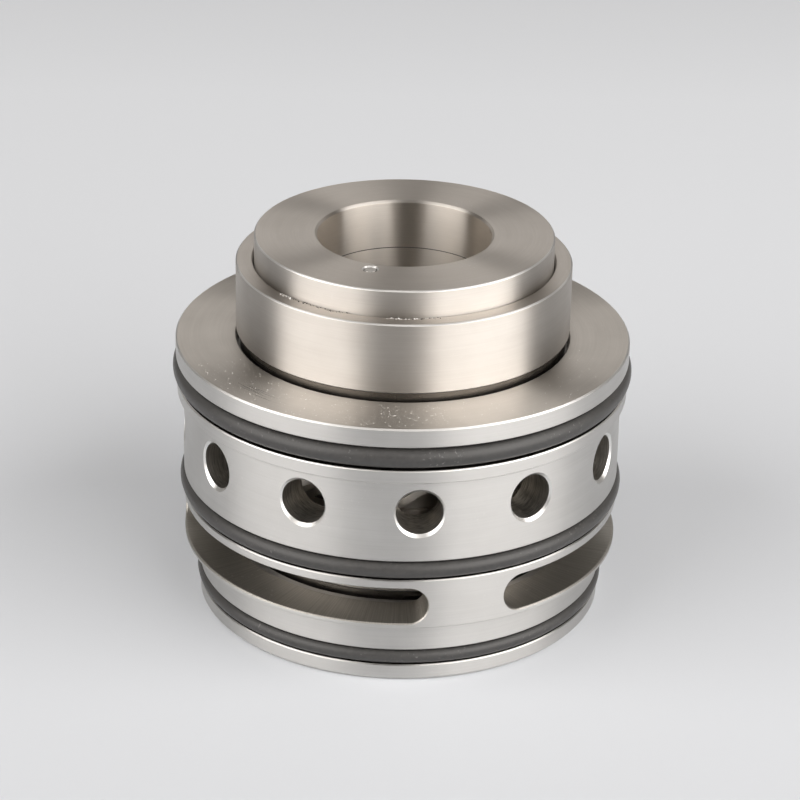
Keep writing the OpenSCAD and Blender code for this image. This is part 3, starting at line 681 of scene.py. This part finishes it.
def shade_groove(piece, low, high, inner_r, outer_r):
    """Painted shade: dark steel on an O-ring's groove walls, between two heights and two radii."""
    paint(piece, PAINTED_SHADE_STEEL, lambda r, z, normal: low - 0.01 < z < high + 0.01
          and inner_r < r < outer_r - 0.25)


def gland_flange():
    bore_in, bore_out = GLAND_FACE_GROOVE
    piece = turned("gland_ring", [
        (BODY_BORE_R - SPIGOT_WALL, UPPER_Z - POCKET_UNDER),
        (BODY_BORE_R - SPIGOT_WALL, SPIGOT_Z, FINE_EDGE), (BODY_BORE_R, SPIGOT_Z, 0.2),
        (BODY_BORE_R, JOINT_Z, 0), (bore_in, JOINT_Z), (bore_in, JOINT_Z + FACE_GROOVE_DEPTH),
        (bore_out, JOINT_Z + FACE_GROOVE_DEPTH), (bore_out, JOINT_Z), (LAND_R - FINE_EDGE, JOINT_Z),
        (LAND_R, JOINT_Z + FINE_EDGE), (LAND_R, GROOVE_Z0 - FINE_EDGE), (LAND_R - FINE_EDGE, GROOVE_Z0),
        (FLANGE_R - GROOVE_DEPTH, GROOVE_Z0, FINE_EDGE), (FLANGE_R - GROOVE_DEPTH, GROOVE_Z1, FINE_EDGE),
        (FLANGE_R - FINE_EDGE, GROOVE_Z1), (FLANGE_R, GROOVE_Z1 + FINE_EDGE),
        (FLANGE_R, FLANGE_Z - EDGE), (FLANGE_R - EDGE, FLANGE_Z), (GLAND_BORE_R + EDGE, FLANGE_Z),
        (GLAND_BORE_R, FLANGE_Z - EDGE), *seat_pocket(UPPER_Z)], HOUSING_STEEL)
    paint(piece, FACED_STEEL, lambda r, z, normal: z > FLANGE_Z - 0.01)
    # Painted highlight: the flange's bevels in the paler bevel steel.
    paint(piece, BEVEL_HIGHLIGHT_STEEL, lambda r, z, normal: z < FLANGE_Z - 0.01 and 0.3 < abs(normal.z) < 0.95)
    shade_groove(piece, GROOVE_Z0, GROOVE_Z1, 0, LAND_R)
    seat_pin_holes(piece, UPPER_Z)
    return smooth(piece)


def slot_cutter(middle_angle):
    """The milling cutter's way through the wall: a round-ended slot with flared outer edges."""
    half_h = (SLOT_Z1 - SLOT_Z0) / 2
    z_mid = (SLOT_Z0 + SLOT_Z1) / 2
    half_span = 180 / SLOTS - WEB_ANGLE / 2 - math.degrees(math.asin(half_h / BODY_R))
    round_end = [(math.cos(math.radians(a)), math.sin(math.radians(a)))
                 for a in range(0, 90, SLOT_END_STEP)]
    columns = [(-half_span, -side, height) for side, height in round_end]
    columns += [(-half_span + k * half_span / SLOT_COLUMNS, 0.0, 1.0)
                for k in range(2 * SLOT_COLUMNS + 1)]
    columns += [(half_span, side, height) for side, height in reversed(round_end)]
    stations = [(SLOT_FROM_R, 0)] + [(BODY_R + out, flare) for out, flare in SLOT_EDGE]
    work = bmesh.new()
    rows = []
    for r, flare in stations:
        top, bottom = [], []
        reach = half_h + flare
        for angle, side, height in columns:
            turn = math.radians(middle_angle + angle) + math.asin(side * reach / r)
            for row, way in ((top, 1), (bottom, -1)):
                row.append(work.verts.new((r * MM * math.sin(turn), -r * MM * math.cos(turn),
                                           (z_mid + way * height * reach) * MM)))
        rows.append((top, bottom))
    last = len(columns) - 1
    for (top, bottom), (next_top, next_bottom) in zip(rows, rows[1:]):
        for k in range(last):
            work.faces.new((top[k], top[k + 1], next_top[k + 1], next_top[k]))
            work.faces.new((bottom[k], next_bottom[k], next_bottom[k + 1], bottom[k + 1]))
    for top, bottom in (rows[0], rows[-1]):
        for k in range(last):
            work.faces.new((top[k], bottom[k], bottom[k + 1], top[k + 1]))
    bmesh.ops.remove_doubles(work, verts=work.verts, dist=CUTTER_WELD)
    bmesh.ops.dissolve_degenerate(work, edges=work.edges, dist=WELD)
    return object_from(finished_mesh(work, "slot_cutter"), "slot_cutter", SLOT_WALL)


def port_housing():
    piece = turned("port_band", [
        (BODY_BORE_R, TONGUE_Z), (TONGUE_R, TONGUE_Z, FINE_EDGE), (TONGUE_R, FOOT_Z, 0),
        (BODY_R - FINE_EDGE, FOOT_Z), (BODY_R, FOOT_Z + FINE_EDGE), (BODY_R, WAIST_Z0 - FINE_EDGE),
        (BODY_R - FINE_EDGE, WAIST_Z0), (BODY_R - WAIST_DEPTH, WAIST_Z0, FINE_EDGE),
        (BODY_R - WAIST_DEPTH, WAIST_Z1, FINE_EDGE), (BODY_R - FINE_EDGE, WAIST_Z1),
        (BODY_R, WAIST_Z1 + FINE_EDGE), (BODY_R, JOINT_Z, 0.1), (BODY_BORE_R, JOINT_Z, 0)], HOUSING_STEEL)
    shade_groove(piece, WAIST_Z0, WAIST_Z1, BODY_BORE_R + 1, BODY_R)
    for slot in range(SLOTS):
        cut_with(piece, slot_cutter(FIRST_WEB + 360 / SLOTS * (slot + 0.5)))
    drill(piece, RADIAL_HOLES, PORT_WALL, PORTS, PORT_R, PORT_FROM, PORT_TO, first_angle=PORT_TURN,
          height=PORT_Z, mouth=PORT_MOUTH, mouth_at=BODY_R)
    return smooth(piece)


def foot_ring():
    groove_in, groove_out = FOOT_FACE_GROOVE
    piece = turned("foot_ring_body", [
        (FOOT_R - FOOT_WALL, 0), (FOOT_R - FOOT_BEVEL, 0, FINE_EDGE), (FOOT_R, FOOT_BEVEL, FINE_EDGE),
        (FOOT_R, FOOT_GROOVE_Z0 - FINE_EDGE), (FOOT_R - FINE_EDGE, FOOT_GROOVE_Z0),
        (FOOT_R - FOOT_GROOVE_DEPTH, FOOT_GROOVE_Z0, FINE_EDGE),
        (FOOT_R - FOOT_GROOVE_DEPTH, FOOT_GROOVE_Z1, FINE_EDGE), (FOOT_R - FINE_EDGE, FOOT_GROOVE_Z1),
        (FOOT_R, FOOT_GROOVE_Z1 + FINE_EDGE), (FOOT_R, FOOT_Z), (groove_out, FOOT_Z, 0),
        (groove_out, FOOT_Z - FACE_GROOVE_DEPTH), (groove_in, FOOT_Z - FACE_GROOVE_DEPTH),
        (groove_in, FOOT_Z, 0), (TONGUE_R, FOOT_Z, 0), (TONGUE_R, TONGUE_Z), (BODY_BORE_R, TONGUE_Z, 0),
        (BODY_BORE_R, BOSS_Z - FINE_EDGE), (BODY_BORE_R - FINE_EDGE, BOSS_Z),
        (GLAND_BORE_R + EDGE, BOSS_Z), (GLAND_BORE_R, BOSS_Z - EDGE), *seat_pocket(LOWER_Z),
        (FOOT_R - FOOT_WALL, LOWER_Z - POCKET_UNDER)], HOUSING_STEEL)
    shade_groove(piece, FOOT_GROOVE_Z0, FOOT_GROOVE_Z1, FOOT_R - 4, FOOT_R)
    seat_pin_holes(piece, LOWER_Z)
    return smooth(piece)


belongs(gland_flange(), "housing", "steel", "gland_flange")
belongs(port_housing(), "housing", "steel", "port_housing")
belongs(foot_ring(), "housing", "steel", "foot_ring")
for name, r, z, cord in O_RINGS:
    belongs(cord_ring(name.replace("o_ring", "cord"), r, z, cord), "housing", "o_ring_rubber", name)


# ---------------------------------------------------------------- turning parts
def collar(name, z, body, node):
    piece = turned(name, [
        (CAVITY_R, NECK_U), (NECK_R - FINE_EDGE, NECK_U), (NECK_R, NECK_U + FINE_EDGE), (NECK_R, 0, 0.15),
        (COLLAR_R - EDGE, 0), (COLLAR_R, EDGE), (COLLAR_R, COLLAR_H - EDGE), (COLLAR_R - EDGE, COLLAR_H),
        (MOUTH_R + FINE_EDGE, COLLAR_H), (MOUTH_R, COLLAR_H - FINE_EDGE), (MOUTH_R, WEB_TOP_U, FINE_EDGE),
        (COLLAR_BORE_R, WEB_TOP_U), (COLLAR_BORE_R, COLLAR_CORD_U1, 0), (COLLAR_CORD_R, COLLAR_CORD_U1, 0),
        (COLLAR_CORD_R, COLLAR_CORD_U0, 0), (COLLAR_BORE_R, COLLAR_CORD_U0, 0), (COLLAR_BORE_R, WEB_U),
        (CAVITY_R, WEB_U, FINE_EDGE)], DRIVE_STEEL, lift=z)
    # Painted shade: the neck below the collar's lower edge in the dark shade steel.
    paint(piece, PAINTED_SHADE_STEEL, lambda r, height, normal: height < z + 0.01 and r < COLLAR_R - 0.5)
    # Painted highlight: the collar's outer bevels in the paler bevel steel.
    paint(piece, BEVEL_HIGHLIGHT_STEEL, lambda r, height, normal: r > COLLAR_R - 0.5 and abs(normal.z) > 0.3)
    paint(piece, FACED_TOP_STEEL, lambda r, height, normal: height > z + COLLAR_H - 0.05
          and r < COLLAR_R - 0.3)
    drill(piece, UPRIGHT_HOLES, DRIVE_STEEL, DRIVE_HOLES, DRIVE_HOLE_R, z + DRIVE_HOLE_U0,
          z + DRIVE_HOLE_U1, DRIVE_R, DRIVE_HOLE_TURN)
    belongs(smooth(piece), body, "turned_steel", node)


def drive_pockets(piece, z):
    """Blind holes for the springs and the drive pins, up from the face at z."""
    for count, first, r in DRIVE_POCKETS:
        drill(piece, UPRIGHT_HOLES, DRIVE_STEEL, count, r, z - DRIVE_POCKET_OVER, z + DRIVE_POCKET_DEPTH,
              DRIVE_R, first)


def pin_hole(piece, mouth):
    drill(piece, UPRIGHT_HOLES, DRIVE_STEEL, 1, PIN_HOLE_R, TOP_Z - PIN_HOLE_DEPTH, TOP_Z + 1, PIN_RING_R,
          PIN_TURN, mouth=mouth, mouth_at=TOP_Z)


def paint_seam(piece):
    """Darkens the fine seam between the top ring and the sleeve, seen in the bore."""
    paint(piece, GRIME, lambda r, z, normal: r < SHAFT_R + 0.2 and abs(z - SLEEVE_TOP_Z) < 0.2)


def top_ring():
    piece = turned("top_drive_ring", [
        (SPIGOT_R, SHOULDER_Z), (SLEEVE_R, SHOULDER_Z), (SLEEVE_R, TOP_RING_Z),
        (TOP_RING_R - EDGE, TOP_RING_Z), (TOP_RING_R, TOP_RING_Z + EDGE), (TOP_RING_R, TOP_Z - EDGE),
        (TOP_RING_R - EDGE, TOP_Z), (SHAFT_R + BORE_BEVEL, TOP_Z), (SHAFT_R, TOP_Z - BORE_BEVEL),
        (SHAFT_R, SLEEVE_TOP_Z, SEAM_ROUNDING), (SPIGOT_R, SLEEVE_TOP_Z)], DRIVE_STEEL)
    drive_pockets(piece, TOP_RING_Z)
    pin_hole(piece, PIN_MOUTH)
    paint(piece, FACED_TOP_STEEL, lambda r, z, normal: z > TOP_Z - 0.05)
    # Painted highlight: the top ring's outer bevel in the paler bevel steel.
    paint(piece, BEVEL_HIGHLIGHT_STEEL, lambda r, z, normal: r > TOP_RING_R - 0.5 and z > TOP_Z - 0.5
          and 0.3 < normal.z < 0.95)
    paint(piece, BORE_STEEL, lambda r, z, normal: r < SHAFT_R + 0.05)
    paint_seam(piece)
    return smooth(piece)


def shaft_sleeve():
    piece = turned("sleeve", [
        (SHAFT_R + BORE_BEVEL, SLEEVE_Z0), (SLEEVE_R - EDGE, SLEEVE_Z0), (SLEEVE_R, SLEEVE_Z0 + EDGE),
        (SLEEVE_R, CLIP_Z0), (CLIP_R, CLIP_Z0), (CLIP_R, CLIP_Z1), (SLEEVE_R, CLIP_Z1),
        (SLEEVE_R, DRIVE_FLANGE_Z), (TOP_RING_R - EDGE, DRIVE_FLANGE_Z),
        (TOP_RING_R, DRIVE_FLANGE_Z + EDGE), (TOP_RING_R, HUB_Z0), (SLEEVE_R, HUB_Z0, 0),
        (SLEEVE_R, SHOULDER_Z, 0), (SPIGOT_R, SHOULDER_Z, 0), (SPIGOT_R, SLEEVE_TOP_Z),
        (SHAFT_R, SLEEVE_TOP_Z, SEAM_ROUNDING), (SHAFT_R, UPPER_CORD_Z1), (SHAFT_CORD_R, UPPER_CORD_Z1),
        (SHAFT_CORD_R, UPPER_CORD_Z0), (SHAFT_R, UPPER_CORD_Z0), (SHAFT_R, LOWER_CORD_Z1),
        (SHAFT_CORD_R, LOWER_CORD_Z1), (SHAFT_CORD_R, LOWER_CORD_Z0), (SHAFT_R, LOWER_CORD_Z0),
        (SHAFT_R, SLEEVE_Z0 + BORE_BEVEL)], BORE_STEEL)
    drive_pockets(piece, DRIVE_FLANGE_Z)
    pin_hole(piece, 0.0)
    paint_seam(piece)
    return smooth(piece)


def circulation_ring():
    """Hub with slanted vanes, each a bar cut to the ring's outside."""
    piece = turned("circulation_hub", [
        (SLEEVE_R, HUB_Z0), (HUB_R, HUB_Z0), (HUB_R, HUB_Z1), (SLEEVE_R, HUB_Z1)], DRIVE_STEEL,
        rounding=VANE_EDGE)
    work = bmesh.new()
    half_h = (HUB_Z1 - HUB_Z0) / 2 - VANE_INSET
    middle = (HUB_Z0 + HUB_Z1) / 2
    lead = 1 / math.tan(VANE_SLANT)
    half_t = VANE_T / 2 / math.sin(VANE_SLANT)
    root_r = HUB_R - 0.3
    for vane in range(VANES):
        base = math.radians(VANE_TURN + 360 / VANES * vane)
        rows = []
        for step in range(VANE_STEPS + 1):
            rise = half_h * (2 * step / VANE_STEPS - 1)
            row = []
            for r, side in ((root_r, -1), (COLLAR_R, -1), (COLLAR_R, 1), (root_r, 1)):
                slide = rise * lead + side * half_t
                turn = base + math.asin(slide / r)
                row.append(work.verts.new((r * MM * math.sin(turn), -r * MM * math.cos(turn),
                                           (middle + rise) * MM)))
            rows.append(row)
        close_bar(work, rows)
    vanes = object_from(finished_mesh(work, "circulation_vanes"), "circulation_vanes", DRIVE_STEEL)
    edge = vanes.modifiers.new("Edge", "BEVEL")
    edge.width = VANE_EDGE * MM
    edge.segments = 2
    edge.limit_method = "ANGLE"
    bake(vanes)
    joined = bmesh.new()
    joined.from_mesh(piece.data)
    joined.from_mesh(vanes.data)
    joined.to_mesh(piece.data)
    joined.free()
    bpy.data.objects.remove(vanes)
    return smooth(piece, VANE_SHARP_ANGLE)


collar("upper_collar_body", UPPER_Z, "upper_float", "upper_collar")
collar("lower_collar_body", LOWER_Z, "lower_float", "lower_collar")
belongs(top_ring(), "rotor", "turned_steel", "top_ring")
belongs(shaft_sleeve(), "rotor", "turned_steel", "shaft_sleeve")
belongs(circulation_ring(), "rotor", "turned_steel", "circulation_ring")
for name, base in (("upper_springs", UPPER_Z + WEB_TOP_U), ("lower_springs", LOWER_Z + WEB_TOP_U)):
    coils = empty_piece(name.replace("springs", "coils"), SPRING_STEEL)
    grow(coils, SPRING_RING, base=base * MM, wire=SPRING_STEEL)
    belongs(coils, "rotor", "spring_wire", name)
    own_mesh(coils)

# ---------------------------------------------------------------- pieces that stay as drawn
for nodes, material in (
        (("upper_seat", "lower_seat", "upper_rotating_ring", "lower_rotating_ring"), CARBIDE),
        (("upper_seat_pins", "lower_seat_pins", "upper_drive_pins", "lower_drive_pins", "top_ring_pin",
          "circulation_ring_screws", "retaining_ring"), PIN_STEEL),
        (("gland_joint_o_ring", "foot_joint_o_ring", "upper_seat_o_ring", "lower_seat_o_ring",
          "upper_shaft_o_ring", "lower_shaft_o_ring", "upper_ring_o_ring", "lower_ring_o_ring",
          "upper_collar_o_ring", "lower_collar_o_ring"), RUBBER)):
    for node in nodes:
        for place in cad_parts[node].material_slots:
            place.material = material

# ---------------------------------------------------------------- dust and grime
GRAINS = [
    # name, body, count, radii, angles, height, sizes, long side, seed, material
    ("flange_dust", "housing", 220, (45.5, 58.3), (-66, -3), FLANGE_Z, (0.06, 0.15), 1.3, 3, LINT),
    ("flange_dust_front", "housing", 100, (45.8, 57.5), (-6, 13), FLANGE_Z, (0.055, 0.14), 1.4, 14, LINT),
    ("flange_dust_far", "housing", 60, (45.5, 58.3), (10, 80), FLANGE_Z, (0.06, 0.14), 1.4, 8, LINT),
    ("flange_fibres", "housing", 9, (46.5, 55.0), (-4, 8), FLANGE_Z, (0.05, 0.09), 9.0, 15, LINT),
    ("ledge_crumbs_left", "upper_float", 30, (39.3, 40.3), (-51, -44), UPPER_Z + COLLAR_H,
     (0.08, 0.26), 1.8, 5, LINT),
    ("ledge_crumbs_front", "upper_float", 50, (39.3, 40.1), (-6, 12), UPPER_Z + COLLAR_H,
     (0.05, 0.2), 1.8, 7, LINT),
    ("ledge_grime_left", "upper_float", 60, (39.2, 40.0), (-50, -20), UPPER_Z + COLLAR_H,
     (0.06, 0.22), 2.4, 16, GRIME),
    ("ledge_grime_front", "upper_float", 40, (39.2, 40.3), (-4, 15), UPPER_Z + COLLAR_H,
     (0.05, 0.22), 2.4, 9, GRIME),
]
for name, body, count, radii, angles, height, sizes, long_side, seed, grain in GRAINS:
    grains = empty_piece(name, grain)
    grow(grains, STREWN_GRAINS, count=count, inner_radius=radii[0] * MM, outer_radius=radii[1] * MM,
         first_angle=float(angles[0]), last_angle=float(angles[1]), height=height * MM,
         smallest=sizes[0] * MM, largest=sizes[1] * MM, long_side=long_side, seed=seed, grain=grain)
    belongs(grains, body, "steel")


def rub_marks(name, material, marks):
    """Fine dark arcs rubbed into the flange's top: (radius, first angle, last angle, width)."""
    work = bmesh.new()
    for r, first, last, width in marks:
        rows = []
        for step in range(RUB_STEPS + 1):
            share = step / RUB_STEPS
            turn = math.radians(first + (last - first) * share)
            half = width / 2 * (RUB_THIN_END + math.sin(math.pi * share))
            rows.append([work.verts.new(((r + out) * MM * math.sin(turn), -(r + out) * MM * math.cos(turn),
                                         (FLANGE_Z + up) * MM))
                         for out, up in ((-half, -RUB_SINK), (half, -RUB_SINK), (0, RUB_RISE))])
        close_bar(work, rows)
    belongs(object_from(finished_mesh(work, name), name, material), "housing", "steel")


RUB_STEPS, RUB_THIN_END, RUB_SINK, RUB_RISE = 20, 0.15, 0.01, 0.012
rub_marks("flange_rub_marks", GRIME, [
    (51.7, -50, -38, 0.16), (52.2, -49, -40, 0.22), (52.6, -46, -35, 0.16), (53.1, -51, -41, 0.25),
    (53.5, -47, -38, 0.18), (53.9, -49, -43, 0.16), (54.6, -44, -36, 0.16)])

# ---------------------------------------------------------------- floor, light and camera
FLOOR_SIDE = 8.0
PAINTED_LIGHT_RAMP = (-0.18, 0.4)  # painted light: between these places along Y, in metres, the paper is painted paler towards the back
PAPER_NEAR, PAPER_FAR_WITH_PAINTED_LIGHT = (0.595, 0.617, 0.648), (0.89, 0.922, 0.966)


def floor():
    mesh = bpy.data.meshes.new("studio_floor")
    half = FLOOR_SIDE / 2
    mesh.from_pydata([(-half, -half, 0), (half, -half, 0), (half, half, 0), (-half, half, 0)], [],
                     [(0, 1, 2, 3)])
    material, t = new_material("Studio paper")
    place = t.add("ShaderNodeSeparateXYZ", {"Vector": t.add("ShaderNodeTexCoord").outputs["Object"]})
    # Painted light: the floor's colour grows paler towards the back, standing in for how the lamps light
    # it.
    far = t.spread(place.outputs["Y"], *PAINTED_LIGHT_RAMP, 0.0, 1.0)
    tone = t.blend(far, (*PAPER_NEAR, 1), (*PAPER_FAR_WITH_PAINTED_LIGHT, 1))
    shader = t.add("ShaderNodeBsdfPrincipled", {"Base Color": tone, "Roughness": 0.7,
                                                "Specular IOR Level": 0.2})
    t.add("ShaderNodeOutputMaterial", {"Surface": shader.outputs[0]})
    sheet = object_from(mesh, "studio_floor", material)


def softbox(name, place, target, size, power, color):
    light = bpy.data.lights.new(name, "AREA")
    light.shape = "RECTANGLE"
    light.size, light.size_y = size
    light.energy = power
    light.color = color
    lamp = bpy.data.objects.new(name, light)
    lamp.location = place
    lamp.rotation_euler = (Vector(target) - Vector(place)).to_track_quat("-Z", "Y").to_euler()
    bpy.context.scene.collection.objects.link(lamp)


def world_light(color, strength):
    world = bpy.data.worlds.new("Studio room")
    bpy.context.scene.world = world
    world.use_nodes = True
    world.node_tree.nodes.clear()
    t = Tree(world.node_tree)
    back = t.add("ShaderNodeBackground", {"Color": (*color, 1), "Strength": strength})
    t.add("ShaderNodeOutputWorld", {"Surface": back.outputs[0]})


floor()
world_light(color=(1.0, 0.94, 0.87), strength=0.11)
SUBJECT = Vector((0, 0, 0.06))
WARM_WHITE = (1.0, 0.968, 0.94)
LAMPS = [
    # name, bearing from the front, height above the level (degrees), reach, width, height, radiance
    ("left_softbox", -59, 27, 1.1, 1.22, 1.12, 3.15),
    ("right_softbox", 54, 27, 1.1, 1.50, 1.12, 3.7),
    ("back_strip", 180, 27, 1.6, 3.4, 0.64, 0.60),
    ("top_softbox", 0, 70, 1.2, 0.3, 0.3, 2.0)]
for name, bearing, tilt, reach, width, height, radiance in LAMPS:
    turn, rise = math.radians(bearing), math.radians(tilt)
    way = Vector((math.sin(turn) * math.cos(rise), -math.cos(turn) * math.cos(rise), math.sin(rise)))
    softbox(name, SUBJECT + way * reach, SUBJECT, (width, height),
            radiance * math.pi * width * height, WARM_WHITE)

LENS_PX = 2846.0
IMAGE_PX = 800.0
SENSOR = 36.0
UNIT = FLANGE_R * MM
DISTANCE = 12.55  # from the flange's centre along the view, in flange radii
PITCH, ROLL = math.radians(25.19), math.radians(-1.03)
TARGET_PX = (402.84, 331.28)  # where the flange's centre lies in the image


def camera():
    """The view worked out from the rims in the photo."""
    forward = Vector((0, math.cos(PITCH), -math.sin(PITCH)))
    right = Vector((1, 0, 0))
    down = forward.cross(right)
    x_axis = math.cos(ROLL) * right + math.sin(ROLL) * down
    y_axis = -math.sin(ROLL) * right + math.cos(ROLL) * down
    shift = [(px - IMAGE_PX / 2) / LENS_PX * DISTANCE for px in TARGET_PX]
    away = x_axis * shift[0] + y_axis * shift[1] + forward * DISTANCE
    data = bpy.data.cameras.new("photo_camera")
    data.sensor_width = SENSOR
    data.lens = LENS_PX / IMAGE_PX * SENSOR
    data.clip_start = 0.01
    data.clip_end = 20
    eye = bpy.data.objects.new("photo_camera", data)
    turn = Matrix((x_axis, -y_axis, -forward)).transposed().to_4x4()
    eye.matrix_world = Matrix.Translation(Vector((0, 0, FLANGE_Z * MM)) - away * UNIT) @ turn
    bpy.context.scene.collection.objects.link(eye)
    bpy.context.scene.camera = eye


camera()
bpy.context.scene.view_settings.view_transform = "Standard"
bpy.context.view_layer.update()
